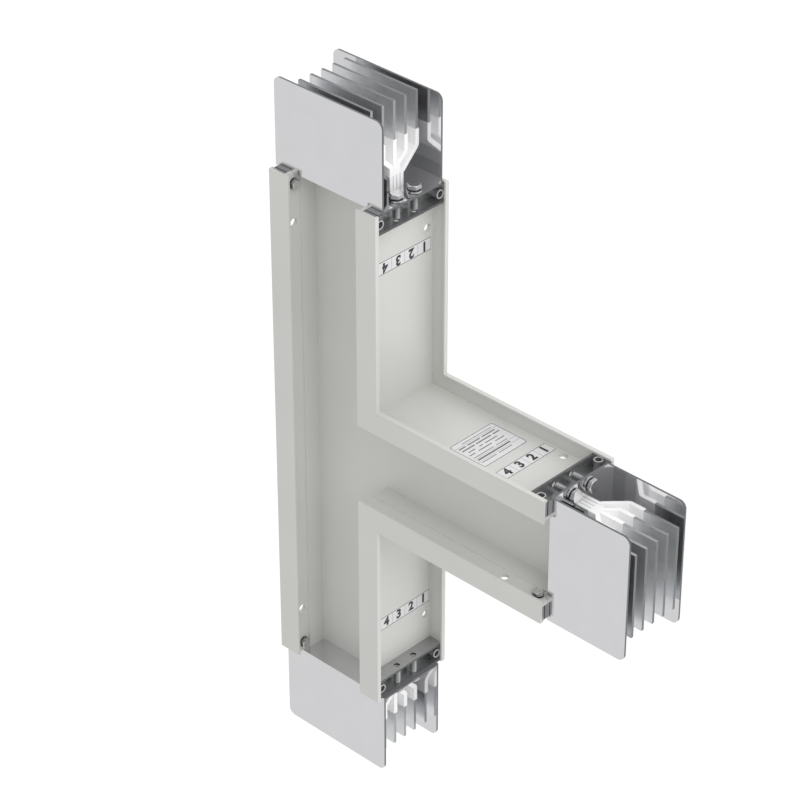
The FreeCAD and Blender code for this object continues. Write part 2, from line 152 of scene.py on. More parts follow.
def new_material(name, roughness, metallic=0.0):
    """A material and its shader, with the place on the part as a texture coordinate."""
    material = bpy.data.materials.new(name)
    material.use_nodes = True
    shader = material.node_tree.nodes["Principled BSDF"]
    shader.inputs["Roughness"].default_value = roughness
    shader.inputs["Metallic"].default_value = metallic
    place = material.node_tree.nodes.new("ShaderNodeTexCoord").outputs["Object"]
    return material, shader, place


def place_group(material, group, place, values):
    node = material.node_tree.nodes.new("ShaderNodeGroup")
    node.node_tree = group
    material.node_tree.links.new(place, node.inputs["Place"])
    for label, value in values.items():
        node.inputs[label].default_value = value
    return node


def ramp_colour(material, shader, mask, dark, light, spread=MASK_SPREAD):
    """Base colour that runs from dark to light over the spread of a mask."""
    ramp = material.node_tree.nodes.new("ShaderNodeValToRGB")
    ramp.color_ramp.elements[0].position = spread[0]
    ramp.color_ramp.elements[1].position = spread[1]
    ramp.color_ramp.elements[0].color = (*dark, 1.0)
    ramp.color_ramp.elements[1].color = (*light, 1.0)
    material.node_tree.links.new(mask, ramp.inputs["Fac"])
    material.node_tree.links.new(ramp.outputs["Color"], shader.inputs["Base Color"])


def range_roughness(material, shader, mask, low, high):
    span = material.node_tree.nodes.new("ShaderNodeMapRange")
    span.inputs["From Min"].default_value = MASK_SPREAD[0]
    span.inputs["From Max"].default_value = MASK_SPREAD[1]
    span.inputs["To Min"].default_value = low
    span.inputs["To Max"].default_value = high
    material.node_tree.links.new(mask, span.inputs["Value"])
    material.node_tree.links.new(span.outputs["Result"], shader.inputs["Roughness"])


def add_bump(material, shader, height, depth):
    bump = material.node_tree.nodes.new("ShaderNodeBump")
    bump.inputs["Distance"].default_value = depth
    material.node_tree.links.new(height, bump.inputs["Height"])
    material.node_tree.links.new(bump.outputs["Normal"], shader.inputs["Normal"])


def dress(names, material):
    for name in names:
        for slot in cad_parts[name].material_slots:
            slot.material = material


def soften_edges(names, width):
    """A small rounding on the sharp edges of nodes, as cutting and painting leave them."""
    for name in names:
        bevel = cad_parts[name].modifiers.new("edge_rounding", "BEVEL")
        bevel.width = width
        bevel.segments = EDGE_STEPS
        bevel.limit_method = "ANGLE"
        bevel.angle_limit = math.radians(EDGE_ANGLE)


def coat_material(name, dark, light, roughness):
    material, shader, place = new_material(name, roughness)
    coat = place_group(material, mottle, place,
                       {"Patch scale": COAT_PATCHES, "Grain scale": COAT_GRAIN})
    ramp_colour(material, shader, coat.outputs["Patches"], dark, light, COAT_SPREAD)
    add_bump(material, shader, coat.outputs["Grain"], COAT_DEPTH)
    return material


dress(FRAMES, coat_material("housing_coat", HOUSING_DARK, HOUSING_LIGHT, COAT_ROUGHNESS))
soften_edges(FRAMES, FRAME_EDGE)


# Covers: tee-shaped sheets with folded edges, in the same paint a little glossier,
# pressed on the stack of conductors from the front and from the rear.
COVER_ROUGHNESS = 0.26
COVERS = ["front_cover", "rear_cover"]
SHEET_EDGE = 0.4 * MM
dress(COVERS, coat_material("cover_coat", HOUSING_DARK, HOUSING_LIGHT, COVER_ROUGHNESS))
soften_edges(COVERS, SHEET_EDGE)


# Conductors and earth bar: flat tinned bars that leave the housing stacked and then fan out.
# Their faces carry a soft noise in colour and roughness, the same in every direction.
BAR_DARK = (0.76, 0.77, 0.78)
BAR_LIGHT = (0.84, 0.85, 0.86)
EARTH_DARK = (0.42, 0.43, 0.445)
EARTH_LIGHT = (0.50, 0.51, 0.525)
# Painted shade: the narrow side faces and the cut tips of the bars are darkened by colour.
BAR_SIDE_SHADE = (0.36, 0.365, 0.37)
BAR_TIP_SHADE = (0.20, 0.205, 0.21)
BAR_METALLIC = 0.9
CROSSING_X = -198.5
RUN_ENDS_FROM = 0.3
TIPS_FROM = 0.45
SIDE_SHADE_SPREAD = (0.5, 0.8)
TIP_SHADE_SPREAD = (0.85, 0.95)
BARS = ["earth_bar", "conductor_1", "conductor_2", "conductor_3", "conductor_4"]

# rolled lines: streaks drawn out along one direction
rolled, rolled_in, rolled_out = new_group(
    "rolled_lines", [("Place", "NodeSocketVector", (0, 0, 0)),
                     ("Stretch", "NodeSocketVector", (300.0, 300.0, 12.0))], ["Lines"])
stretch = rolled.nodes.new("ShaderNodeVectorMath")
stretch.operation = "MULTIPLY"
rolled.links.new(rolled_in.outputs["Place"], stretch.inputs[0])
rolled.links.new(rolled_in.outputs["Stretch"], stretch.inputs[1])
rolled.links.new(add_noise(rolled, stretch.outputs["Vector"], 1.0, 3.0), rolled_out.inputs["Lines"])


def math_node(tree, operation, *values):
    """One math node; a value is a number or the socket that feeds it."""
    node = tree.nodes.new("ShaderNodeMath")
    node.operation = operation
    for index, value in enumerate(values):
        if isinstance(value, bpy.types.NodeSocket):
            tree.links.new(value, node.inputs[index])
        else:
            node.inputs[index].default_value = value
    return node.outputs["Value"]


# edge faces: how far a face looks across its arm or along it, the same at the tips, and its
# distance from the crossing
edges, edges_in, edges_out = new_group(
    "edge_faces", [("Place", "NodeSocketVector", (0, 0, 0))], ["Sides", "Ends", "Tips", "Along"])
face_normal = edges.nodes.new("ShaderNodeNewGeometry").outputs["True Normal"]
components = []
for vector in (face_normal, edges_in.outputs["Place"]):
    split = edges.nodes.new("ShaderNodeSeparateXYZ")
    edges.links.new(vector, split.inputs["Vector"])
    components += [math_node(edges, "ABSOLUTE", split.outputs[axis]) for axis in ("X", "Y")]
normal_x, normal_y, _, place_y = components
on_run = math_node(edges, "GREATER_THAN", place_y, RUN_ENDS_FROM)
along_branch = math_node(edges, "SUBTRACT", split.outputs["X"], CROSSING_X * MM)
along = math_node(edges, "MAXIMUM", place_y, along_branch)
choices = []
for elsewhere, on_the_run in ((normal_y, normal_x), (normal_x, normal_y)):
    choice = edges.nodes.new("ShaderNodeMix")
    edges.links.new(on_run, choice.inputs["Factor"])
    edges.links.new(elsewhere, choice.inputs["A"])
    edges.links.new(on_the_run, choice.inputs["B"])
    choices.append(choice.outputs["Result"])
at_tip = math_node(edges, "GREATER_THAN", along, TIPS_FROM)
edges.links.new(choices[0], edges_out.inputs["Sides"])
edges.links.new(choices[1], edges_out.inputs["Ends"])
edges.links.new(math_node(edges, "MULTIPLY", choices[1], at_tip), edges_out.inputs["Tips"])
edges.links.new(along, edges_out.inputs["Along"])


def tint_where(material, shader, mask, spread, tint):
    """Lay a tint over the base colour, none below the spread of a mask and all of it above."""
    tree = material.node_tree
    ramp = tree.nodes.new("ShaderNodeValToRGB")
    ramp.color_ramp.elements[0].position = spread[0]
    ramp.color_ramp.elements[1].position = spread[1]
    tree.links.new(mask, ramp.inputs["Fac"])
    mix = tree.nodes.new("ShaderNodeMix")
    mix.data_type = "RGBA"
    under = shader.inputs["Base Color"].links[0].from_socket
    tree.links.new(ramp.outputs["Color"], mix.inputs["Factor"])
    tree.links.new(under, mix.inputs["A"])
    mix.inputs["B"].default_value = (*tint, 1.0)
    tree.links.new(mix.outputs["Result"], shader.inputs["Base Color"])


def edge_faces(material, place):
    return place_group(material, edges, place, {})


def rolled_material(name, stretch_by, dark, light, rough_low, rough_high, depth, metallic=1.0):
    material, shader, place = new_material(name, rough_low, metallic)
    lines = place_group(material, rolled, place, {"Stretch": stretch_by}).outputs["Lines"]
    ramp_colour(material, shader, lines, dark, light)
    range_roughness(material, shader, lines, rough_low, rough_high)
    add_bump(material, shader, lines, depth)
    return material, shader, place


def bar_material(name, dark, light, side_shade, tip_shade):
    material, shader, place = rolled_material(name, (60.0, 60.0, 60.0), dark, light, rough_low=0.30,
                                              rough_high=0.32, depth=0.000001, metallic=BAR_METALLIC)
    cut = edge_faces(material, place)
    # painted shade on the side faces and on the tips
    tint_where(material, shader, cut.outputs["Sides"], SIDE_SHADE_SPREAD, side_shade)
    tint_where(material, shader, cut.outputs["Tips"], TIP_SHADE_SPREAD, tip_shade)
    return material


dress(BARS[1:], bar_material("tinned_bar", BAR_DARK, BAR_LIGHT, BAR_SIDE_SHADE, BAR_TIP_SHADE))
dress(BARS[:1], bar_material("earth_bar_metal", EARTH_DARK, EARTH_LIGHT, BAR_SIDE_SHADE, BAR_TIP_SHADE))
soften_edges(BARS, SHEET_EDGE)


# Insulation: white film wrapped round each phase conductor up to its bare contact end.
# It is satin and a little uneven, with a faint painted glow and thin lines of painted shade in the creases
# where the wrapped bars lie on each other.
FILM_DARK = (0.94, 0.94, 0.94)
FILM_LIGHT = (0.97, 0.97, 0.97)
FILM_CREASE_SHADE = (0.55, 0.56, 0.57)
FILMS = ["insulation_1", "insulation_2", "insulation_3", "insulation_4"]
FILM_PITCH = 6.0 * MM
FILM_LOWEST = 49.0 * MM
CREASE_SHADE_WIDTH = 0.13
CREASE_SHADE_SPREAD = (0.0, 1.0)
FILM_PAINTED_GLOW = 0.05
FILM_DEPTH = 0.0001
FILM_EDGE = 0.3 * MM
STACK_END = 387.0 * MM

# layer crease shade: thin lines of painted shade in the creases where wrapped bars lie on each other, before
# they fan out
crease_shade, crease_shade_in, crease_shade_out = new_group(
    "layer_crease_shade", [("Place", "NodeSocketVector", (0, 0, 0)), ("Along", "NodeSocketFloat", 0.0)], ["Seams"])
split = crease_shade.nodes.new("ShaderNodeSeparateXYZ")
crease_shade.links.new(crease_shade_in.outputs["Place"], split.inputs["Vector"])
layer = math_node(crease_shade, "DIVIDE", math_node(crease_shade, "SUBTRACT", split.outputs["Z"], FILM_LOWEST), FILM_PITCH)
apart = math_node(crease_shade, "PINGPONG", layer, 0.5)
in_crease = math_node(crease_shade, "LESS_THAN", apart, CREASE_SHADE_WIDTH)
in_stack = math_node(crease_shade, "LESS_THAN", crease_shade_in.outputs["Along"], STACK_END)
crease_shade.links.new(math_node(crease_shade, "MULTIPLY", in_crease, in_stack), crease_shade_out.inputs["Seams"])

film, film_shader, film_place = new_material("insulating_film", 0.35)
# painted light: a faint glow that lightens the film
film_shader.inputs["Emission Color"].default_value = (1.0, 1.0, 1.0, 1.0)
film_shader.inputs["Emission Strength"].default_value = FILM_PAINTED_GLOW
film_mottle = place_group(film, mottle, film_place, {"Patch scale": 25.0, "Grain scale": 220.0})
ramp_colour(film, film_shader, film_mottle.outputs["Patches"], FILM_DARK, FILM_LIGHT)
add_bump(film, film_shader, film_mottle.outputs["Grain"], FILM_DEPTH)
film_cut = edge_faces(film, film_place)
film_crease_shade = place_group(film, crease_shade, film_place, {})
film.node_tree.links.new(film_cut.outputs["Along"], film_crease_shade.inputs["Along"])
# painted shade in the creases between the wrapped layers
tint_where(film, film_shader, film_crease_shade.outputs["Seams"], CREASE_SHADE_SPREAD, FILM_CREASE_SHADE)
dress(FILMS, film)
soften_edges(FILMS, FILM_EDGE)


# Joint plates: polished plates that close the front and the rear of every joint end,
# each bent from one sheet with the foot that is bolted to the end brackets.
PLATE_DARK = (0.79, 0.79, 0.805)
PLATE_LIGHT = (0.81, 0.81, 0.825)
ARMS = ("branch", "top", "bottom")
PLATES = [f"joint_plate_{arm}_{side}" for arm in ARMS for side in ("front", "rear")]
PLATE_EDGE_SHADE = (0.16, 0.165, 0.17)
PLATE_SHADE_SPREAD = (0.3, 0.6)
plate_metal, plate_shader, plate_place = rolled_material(
    "polished_plate", (30.0, 30.0, 30.0), PLATE_DARK, PLATE_LIGHT, rough_low=0.07, rough_high=0.08,
    depth=0.0000005)
plate_edges = edge_faces(plate_metal, plate_place)
# painted shade: the side and end faces of the plates are darkened by colour
for facing in ("Sides", "Tips"):
    tint_where(plate_metal, plate_shader, plate_edges.outputs[facing], PLATE_SHADE_SPREAD, PLATE_EDGE_SHADE)
dress(PLATES, plate_metal)
soften_edges(PLATES, SHEET_EDGE)


# End brackets: dark polished plates bent to a channel between the flanges, two at each open end.
# They take the end bolts of the joint plates and the side bolts through the frames.
BRACKET_DARK = (0.44, 0.445, 0.45)
BRACKET_LIGHT = (0.52, 0.525, 0.53)
BRACKETS = [f"end_bracket_{arm}_{side}" for arm in ARMS for side in ("left", "right")]
# Painted shade: the outer end face, a line across it near the flanges, and the cut rims and hole walls of
# the legs are darkened by colour.
BRACKET_END_SHADE = (0.33, 0.335, 0.34)
BRACKET_RIM_SHADE = (0.12, 0.12, 0.125)
OUTER_FACE = 364.5 * MM
BRACKET_MIDDLE = 350.5 * MM
INNER_HALF = 11.4 * MM
BRACKET_SHADE_LINE = (0.015, 0.015, 0.016)
SHADE_LINE_HEIGHT = 56.8 * MM
SHADE_LINE_HALF = 0.8 * MM
BRACKET_SHADE_SPREAD = (0.4, 0.8)
MIDDLE = 64.0

# bracket shade marks: where painted shade darkens the outer face at the open end, a dark line of painted
# shade across it near the flanges, and the cut rims and hole walls of its two upright legs
end_shade, end_shade_in, end_shade_out = new_group(
    "bracket_shade_marks", [("Place", "NodeSocketVector", (0, 0, 0)), ("Ends", "NodeSocketFloat", 0.0),
                    ("Along", "NodeSocketFloat", 0.0)], ["Face", "Seam", "Rims"])
split = end_shade.nodes.new("ShaderNodeSeparateXYZ")
end_shade.links.new(end_shade_in.outputs["Place"], split.inputs["Vector"])
rise = math_node(end_shade, "ABSOLUTE", math_node(end_shade, "SUBTRACT", split.outputs["Z"], MIDDLE * MM))
off_line = math_node(end_shade, "ABSOLUTE", math_node(end_shade, "SUBTRACT", rise, SHADE_LINE_HEIGHT))
on_line = math_node(end_shade, "LESS_THAN", off_line, SHADE_LINE_HALF)
outer = math_node(end_shade, "GREATER_THAN", end_shade_in.outputs["Along"], OUTER_FACE)
outer_end = math_node(end_shade, "MULTIPLY", outer, end_shade_in.outputs["Ends"])
end_shade.links.new(outer_end, end_shade_out.inputs["Face"])
end_shade.links.new(math_node(end_shade, "MULTIPLY", on_line, outer_end), end_shade_out.inputs["Seam"])
from_middle = math_node(end_shade, "SUBTRACT", end_shade_in.outputs["Along"], BRACKET_MIDDLE)
in_leg = math_node(end_shade, "GREATER_THAN", math_node(end_shade, "ABSOLUTE", from_middle), INNER_HALF)
not_end = math_node(end_shade, "SUBTRACT", 1.0, end_shade_in.outputs["Ends"])
end_shade.links.new(math_node(end_shade, "MULTIPLY", in_leg, not_end), end_shade_out.inputs["Rims"])

bracket_metal, bracket_shader, bracket_place = rolled_material(
    "dark_bracket", (90.0, 90.0, 90.0), BRACKET_DARK, BRACKET_LIGHT, rough_low=0.26, rough_high=0.34,
    depth=0.000005, metallic=0.85)
bracket_cut = edge_faces(bracket_metal, bracket_place)
bracket_shade_marks = place_group(bracket_metal, end_shade, bracket_place, {})
for label in ("Ends", "Along"):
    bracket_metal.node_tree.links.new(bracket_cut.outputs[label], bracket_shade_marks.inputs[label])
for label, tint in (("Face", BRACKET_END_SHADE), ("Seam", BRACKET_SHADE_LINE), ("Rims", BRACKET_RIM_SHADE)):
    tint_where(bracket_metal, bracket_shader, bracket_shade_marks.outputs[label], BRACKET_SHADE_SPREAD, tint)
dress(BRACKETS, bracket_metal)
soften_edges(BRACKETS, SHEET_EDGE)


# End bolts: zinc-plated M10 hexagon bolts, each on a spring washer and a flat washer. They hold
# the feet of the joint plates to the end brackets, and their threads show inside the brackets.
ZINC_DARK = (0.60, 0.60, 0.595)
ZINC_LIGHT = (0.86, 0.86, 0.85)
WASHER_DARK = (0.50, 0.50, 0.495)
WASHER_LIGHT = (0.70, 0.70, 0.69)
# A darker copy of the zinc paints shade on the flanks and undersides of the heads and on the threads.
SHADED_ZINC_DARK = (0.38, 0.385, 0.39)
SHADED_ZINC_LIGHT = (0.54, 0.545, 0.55)
# Near-black steel: the spring washers are blackened, and the same colour on the shank ends is painted shade
# that makes the bolt holes look dark.
BLACKENED_AND_SHADE_DARK = (0.03, 0.03, 0.03)
BLACKENED_AND_SHADE_LIGHT = (0.06, 0.06, 0.06)
STEEL_DEPTH = 0.00001
FOOT_FACE = 368.0
END_BOLT = {"across_flats": 16.0, "head": 5.6, "thread": 10.0, "pitch": 1.5, "length": 28.0}
END_WASHER = {"outer": 20.0, "inner": 10.8, "gauge": 1.2}
END_SPRING = {"outer": 17.0, "inner": 10.4, "gauge": 1.6}
END_BOLT_SIDE = 78.0
END_BOLT_RISE = 15.5
ROUND_STEPS = 48
THREAD_STEPS = 24
THREAD_DEPTH = 0.55
HEAD_FACE = 0.95
HEAD_CROWN = 0.9
HEAD_FOOT = 0.3
WASHER_ROUNDING = 0.2
SPRING_GAP = 9
CAD_WASHER_GAUGE = 2.0
SHARP_ANGLE = 28
ARM_TURNS = {"branch": 0.0, "top": 90.0, "bottom": -90.0}

zinc = rolled_material("zinc_plating", (500.0, 500.0, 500.0), ZINC_DARK, ZINC_LIGHT,
                       rough_low=0.16, rough_high=0.28, depth=STEEL_DEPTH)[0]
washer_steel = rolled_material("washer_zinc", (500.0, 500.0, 500.0), WASHER_DARK, WASHER_LIGHT,
                               rough_low=0.2, rough_high=0.3, depth=STEEL_DEPTH)[0]
shaded_zinc = rolled_material("zinc_painted_shade", (700.0, 700.0, 700.0), SHADED_ZINC_DARK, SHADED_ZINC_LIGHT,
                              rough_low=0.3, rough_high=0.42, depth=STEEL_DEPTH)[0]
blackened_and_shade_steel = rolled_material("blackened_steel_and_hole_shade", (700.0, 700.0, 700.0), BLACKENED_AND_SHADE_DARK, BLACKENED_AND_SHADE_LIGHT,
                             rough_low=0.4, rough_high=0.5, depth=STEEL_DEPTH, metallic=0.6)[0]


# Bands listed in shaded_bands take the second material slot; on the bolts this is the darker zinc copy,
# painted shade.
def add_rings(bm, rings, close_ends=True, shaded_bands=(), ends_material=0):
    """Faces between rings of points, each ring a list of the same length round one axis."""
    loops = [[bm.verts.new(point) for point in ring] for ring in rings]
    count = len(loops[0])
    for band, (lower, upper) in enumerate(zip(loops, loops[1:])):
        for step in range(count):
            after = (step + 1) % count
            face = bm.faces.new((lower[step], lower[after], upper[after], upper[step]))
            face.material_index = int(band in shaded_bands)
    if close_ends:
        for loop in (loops[0][::-1], loops[-1]):
            bm.faces.new(loop).material_index = ends_material


def circle(radius, height, steps=ROUND_STEPS):
    return [Vector((radius * math.cos(turn), radius * math.sin(turn), height))
            for turn in (math.tau * step / steps for step in range(steps))]


def add_turned(bm, profile):
    """A closed ring with the cross-section given as radius and height pairs."""
    rings = [circle(radius, height) for radius, height in profile]
    add_rings(bm, rings + rings[:1], close_ends=False)


def add_hex_head(bm, across_flats, bottom, height):
    """A hexagon head with its corners chamfered at 30 degrees on the outer end."""
    flat = across_flats / 2
    chamfer = flat * HEAD_FACE
    turns = [math.tau * step / ROUND_STEPS for step in range(ROUND_STEPS)]
    reach = [flat / math.cos(turn % (math.pi / 3) - math.pi / 6) for turn in turns]

    def ring(radii, levels):
        return [Vector((radius * math.cos(turn), radius * math.sin(turn), level))
                for radius, turn, level in zip(radii, turns, levels)]

    shoulder = [bottom + height - (radius - chamfer) * math.tan(math.radians(30)) for radius in reach]
    foot = bottom + HEAD_FOOT
    add_rings(bm, [circle(chamfer, bottom), circle(chamfer, foot),
                   ring(reach, [foot] * ROUND_STEPS), ring(reach, shoulder),
                   circle(chamfer, bottom + height), circle(chamfer * HEAD_CROWN, bottom + height)],
              shaded_bands=(0, 1, 2))


# The end faces of the thread take the third material slot, near-black painted shade for the bolt holes.
def add_thread(bm, diameter, pitch, bottom, top):
    """A threaded shank from bottom to top, with a chamfered point at the bottom."""
    crest, root = diameter / 2, diameter / 2 - THREAD_DEPTH * pitch
    rings = [circle(root, bottom, THREAD_STEPS)]
    for index in range(int((top - bottom) / pitch)):
        level = bottom + pitch * (index + 0.5)
        rings += [circle(crest, level, THREAD_STEPS), circle(root, level + pitch / 2, THREAD_STEPS)]
    rings.append(circle(crest, top, THREAD_STEPS))
    add_rings(bm, rings, shaded_bands=range(len(rings)), ends_material=2)


def add_flat_washer(bm, outer, inner, bottom, gauge):
    edge = WASHER_ROUNDING
    add_turned(bm, [(inner / 2, bottom), (outer / 2 - edge, bottom), (outer / 2, bottom + edge),
                    (outer / 2, bottom + gauge - edge), (outer / 2 - edge, bottom + gauge),
                    (inner / 2, bottom + gauge)])


def add_spring_washer(bm, outer, inner, bottom, gauge):
    """A split ring whose two ends stand a little apart."""
    gap = math.radians(SPRING_GAP)
    steps = ROUND_STEPS - 4
    sections = []
    for step in range(steps + 1):
        turn = gap + (math.tau - 2 * gap) * step / steps
        sections.append([bm.verts.new((radius * math.cos(turn), radius * math.sin(turn), level))
                         for radius, level in ((inner / 2, bottom), (outer / 2, bottom),
                                               (outer / 2, bottom + gauge), (inner / 2, bottom + gauge))])
    for before, after in zip(sections, sections[1:]):
        for corner in range(4):
            following = (corner + 1) % 4
            face = bm.faces.new((before[corner], after[corner], after[following], before[following]))
            face.material_index = 1
    bm.faces.new(sections[0])
    bm.faces.new(sections[-1][::-1])


def arm_matrix(arm):
    """From an arm's own directions, along it, to its left and upwards, to the part's."""
    turn = Matrix.Rotation(math.radians(ARM_TURNS[arm]), 4, "Z")
    return Matrix.Scale(MM, 4) @ Matrix.Translation((CROSSING_X, 0.0, 0.0)) @ turn


def place_fasteners(name, arm, node, fill, matrices, materials):
    """One piece that holds a fastener at each place and stands for a node."""
    bm = bmesh.new()
    for matrix in matrices:
        single = bmesh.new()
        fill(single)
        bmesh.ops.recalc_face_normals(single, faces=single.faces)
        bmesh.ops.transform(single, matrix=arm_matrix(arm) @ matrix, verts=single.verts)
        part = bpy.data.meshes.new("part")
        single.to_mesh(part)
        single.free()
        bm.from_mesh(part)
        bpy.data.meshes.remove(part)
    mesh = bpy.data.meshes.new(name)
    bm.to_mesh(mesh)
    bm.free()
    for material in materials:
        mesh.materials.append(material)
    mesh.shade_smooth()
    piece = bpy.data.objects.new(name, mesh)
    scene.collection.objects.link(piece)
    sharp = piece.modifiers.new("sharp_edges", "EDGE_SPLIT")
    sharp.split_angle = math.radians(SHARP_ANGLE)
    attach(piece, "root")
    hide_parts(node)


def end_bolt_places():
    upright = Matrix.Rotation(math.radians(90), 4, "Y")
    return [Matrix.Translation((FOOT_FACE, side * END_BOLT_SIDE, MIDDLE + level * END_BOLT_RISE)) @ upright
            for side in (1, -1) for level in (1, -1)]


def fill_end_bolt(bm):
    seat = END_WASHER["gauge"] + END_SPRING["gauge"]
    add_hex_head(bm, END_BOLT["across_flats"], seat, END_BOLT["head"])
    add_thread(bm, END_BOLT["thread"], END_BOLT["pitch"], CAD_WASHER_GAUGE - END_BOLT["length"], seat)


def fill_end_washers(bm):
    add_flat_washer(bm, END_WASHER["outer"], END_WASHER["inner"], 0.0, END_WASHER["gauge"])
    add_spring_washer(bm, END_SPRING["outer"], END_SPRING["inner"], END_WASHER["gauge"], END_SPRING["gauge"])


for arm in ARMS:
    place_fasteners(f"joint_bolts_{arm}", arm, f"end_bolts_{arm}", fill_end_bolt,
                    end_bolt_places(), (zinc, shaded_zinc, blackened_and_shade_steel))
    place_fasteners(f"joint_bolt_washers_{arm}", arm, f"end_washers_{arm}", fill_end_washers,
                    end_bolt_places(), (washer_steel, blackened_and_shade_steel))


# Side bolts, washers and spacers: zinc-plated M8 hexagon bolts with their heads inside the recess.
# Each runs out through the frame and the bracket into a steel spacer tube between the flanges.
SIDE_BOLT = {"across_flats": 13.0, "head": 4.9, "thread": 8.0, "pitch": 1.25, "length": 20.0}
SIDE_WASHER = {"outer": 16.0, "inner": 8.8, "gauge": 1.0}
SIDE_SPRING = {"outer": 13.6, "inner": 8.4, "gauge": 1.4}
SPACER = {"outer": 12.4, "inner": 8.8, "foot": 69.0, "end": 87.0, "rounding": 0.4}
SIDE_BOLT_ALONG = 350.0
RECESS_FACE = 61.0
SIDE_BOLT_LEVELS = (12.0, 116.0)


def side_bolt_places(distance, outwards):
    """Places on the axes of the side bolts, at a distance from the middle of the arm."""
    places = []
    for side in (1, -1):
        facing = Matrix.Rotation(math.radians(-90 if side * outwards > 0 else 90), 4, "X")
        places += [Matrix.Translation((SIDE_BOLT_ALONG, side * distance, level)) @ facing
                   for level in SIDE_BOLT_LEVELS]
    return places


def fill_side_bolt(bm):
    seat = SIDE_WASHER["gauge"] + SIDE_SPRING["gauge"]
    add_hex_head(bm, SIDE_BOLT["across_flats"], seat, SIDE_BOLT["head"])
    add_thread(bm, SIDE_BOLT["thread"], SIDE_BOLT["pitch"], CAD_WASHER_GAUGE - SIDE_BOLT["length"], seat)


def fill_side_washers(bm):
    add_flat_washer(bm, SIDE_WASHER["outer"], SIDE_WASHER["inner"], 0.0, SIDE_WASHER["gauge"])
    add_spring_washer(bm, SIDE_SPRING["outer"], SIDE_SPRING["inner"], SIDE_WASHER["gauge"],
                      SIDE_SPRING["gauge"])


def fill_spacer(bm):
    outer, inner = SPACER["outer"] / 2, SPACER["inner"] / 2
    length = SPACER["end"] - SPACER["foot"]
    edge = SPACER["rounding"]
    add_turned(bm, [(inner, 0.0), (outer, 0.0), (outer, length - edge), (outer - edge, length),
                    (inner + edge, length), (inner, length - edge)])


for arm in ARMS:
    place_fasteners(f"frame_bolts_{arm}", arm, f"side_bolts_{arm}", fill_side_bolt,
                    side_bolt_places(RECESS_FACE, -1), (zinc, shaded_zinc, blackened_and_shade_steel))
    place_fasteners(f"frame_bolt_washers_{arm}", arm, f"side_washers_{arm}", fill_side_washers,
                    side_bolt_places(RECESS_FACE, -1), (washer_steel, blackened_and_shade_steel))
    place_fasteners(f"spacer_tubes_{arm}", arm, f"spacers_{arm}", fill_spacer,
                    side_bolt_places(SPACER["foot"], 1), (bracket_metal,))


# Labels: white printed film stuck on the label faces. Three strips number the phase bars near
# the open ends, and a rating plate beside the branch has ruled lines and no words.
LABEL_FILM = 0.12
INK_FILM = 0.03
LABEL_FACE_X = CROSSING_X + 66.0
LABEL_FACE_Y = 66.0
LINE_WIDTH = 0.8
HAIRLINE_HALF = 0.2
CELL_MARGIN = 1
CELL_SHARE = 0.99
DIGIT_SIZE = 18.5
DIGIT_WEIGHT = 0.85
STRIPS = {
    "number_strip_upper": {"middle": (LABEL_FACE_X, 271.5, 52.25), "across": (0, 0, 1), "up": (0, -1, 0),
                           "size": (92.5, 19.0), "cells": "1234"},
    "number_strip_lower": {"middle": (LABEL_FACE_X, -266.75, 51.75), "across": (0, 0, -1), "up": (0, 1, 0),
                           "size": (92.5, 20.0), "cells": "4321"},
    "number_strip_branch": {"middle": (70.65, LABEL_FACE_Y, 51.3), "across": (0, 0, -1), "up": (-1, 0, 0),
                            "size": (89.0, 20.0), "cells": "4321"},
}
RATING_PLATE = {"middle": (14.05, LABEL_FACE_Y, 57.3), "across": (0, 0, -1), "up": (-1, 0, 0),
                "size": (80.0, 62.0), "corner": 4.0}
RATING_ROWS = [(24.0, 1.0, ((-22, 30),)), (17.5, 2.0, ((-34, -22), (-19, 4), (7, 30))),
               (12.0, 2.0, ((-34, -12), (-9, 18), (21, 33))), (5.5, 1.6, ((-30, -18), (-10, -4), (0, 22))),
               (-0.5, 1.6, ((-34, -24), (-18, 6), (12, 28))), (-7.5, 1.2, ((-34, 2), (6, 26))),
               (-14.0, 2.6, ((-34, 24),)), (-21.0, 1.2, ((-34, -8), (-4, 20)))]
RATING_RULES = (20.8, -10.8, -18.0)
RULE_MARGIN = 3
FRAME_OUTSIDE = 2.0
FRAME_INSIDE = 3.8
FRAME_CORNER_CUT = 0.9
LABEL_LIGHT = (0.76, 0.76, 0.77)
LABEL_DARK = (0.72, 0.72, 0.73)
INK_LIGHT = (0.03, 0.03, 0.034)
INK_DARK = (0.012, 0.012, 0.014)
ROW_LIGHT = (0.20, 0.20, 0.21)
ROW_DARK = (0.07, 0.07, 0.075)

label_film, label_shader, label_place = new_material("label_film", 0.3)
label_mottle = place_group(label_film, mottle, label_place, {"Patch scale": 30.0, "Grain scale": 900.0})
ramp_colour(label_film, label_shader, label_mottle.outputs["Patches"], LABEL_DARK, LABEL_LIGHT)
add_bump(label_film, label_shader, label_mottle.outputs["Grain"], 0.00001)
label_ink, ink_shader, ink_place = new_material("label_ink", 0.4)
ink_mottle = place_group(label_ink, mottle, ink_place, {"Patch scale": 60.0, "Grain scale": 1500.0})
ramp_colour(label_ink, ink_shader, ink_mottle.outputs["Grain"], INK_DARK, INK_LIGHT)
row_ink, row_shader, row_place = new_material("row_ink", 0.4)
row_mottle = place_group(row_ink, mottle, row_place, {"Patch scale": 90.0, "Grain scale": 700.0})
ramp_colour(row_ink, row_shader, row_mottle.outputs["Grain"], ROW_DARK, ROW_LIGHT)
FILM_LAYER, INK_LAYER, ROW_LAYER = range(3)


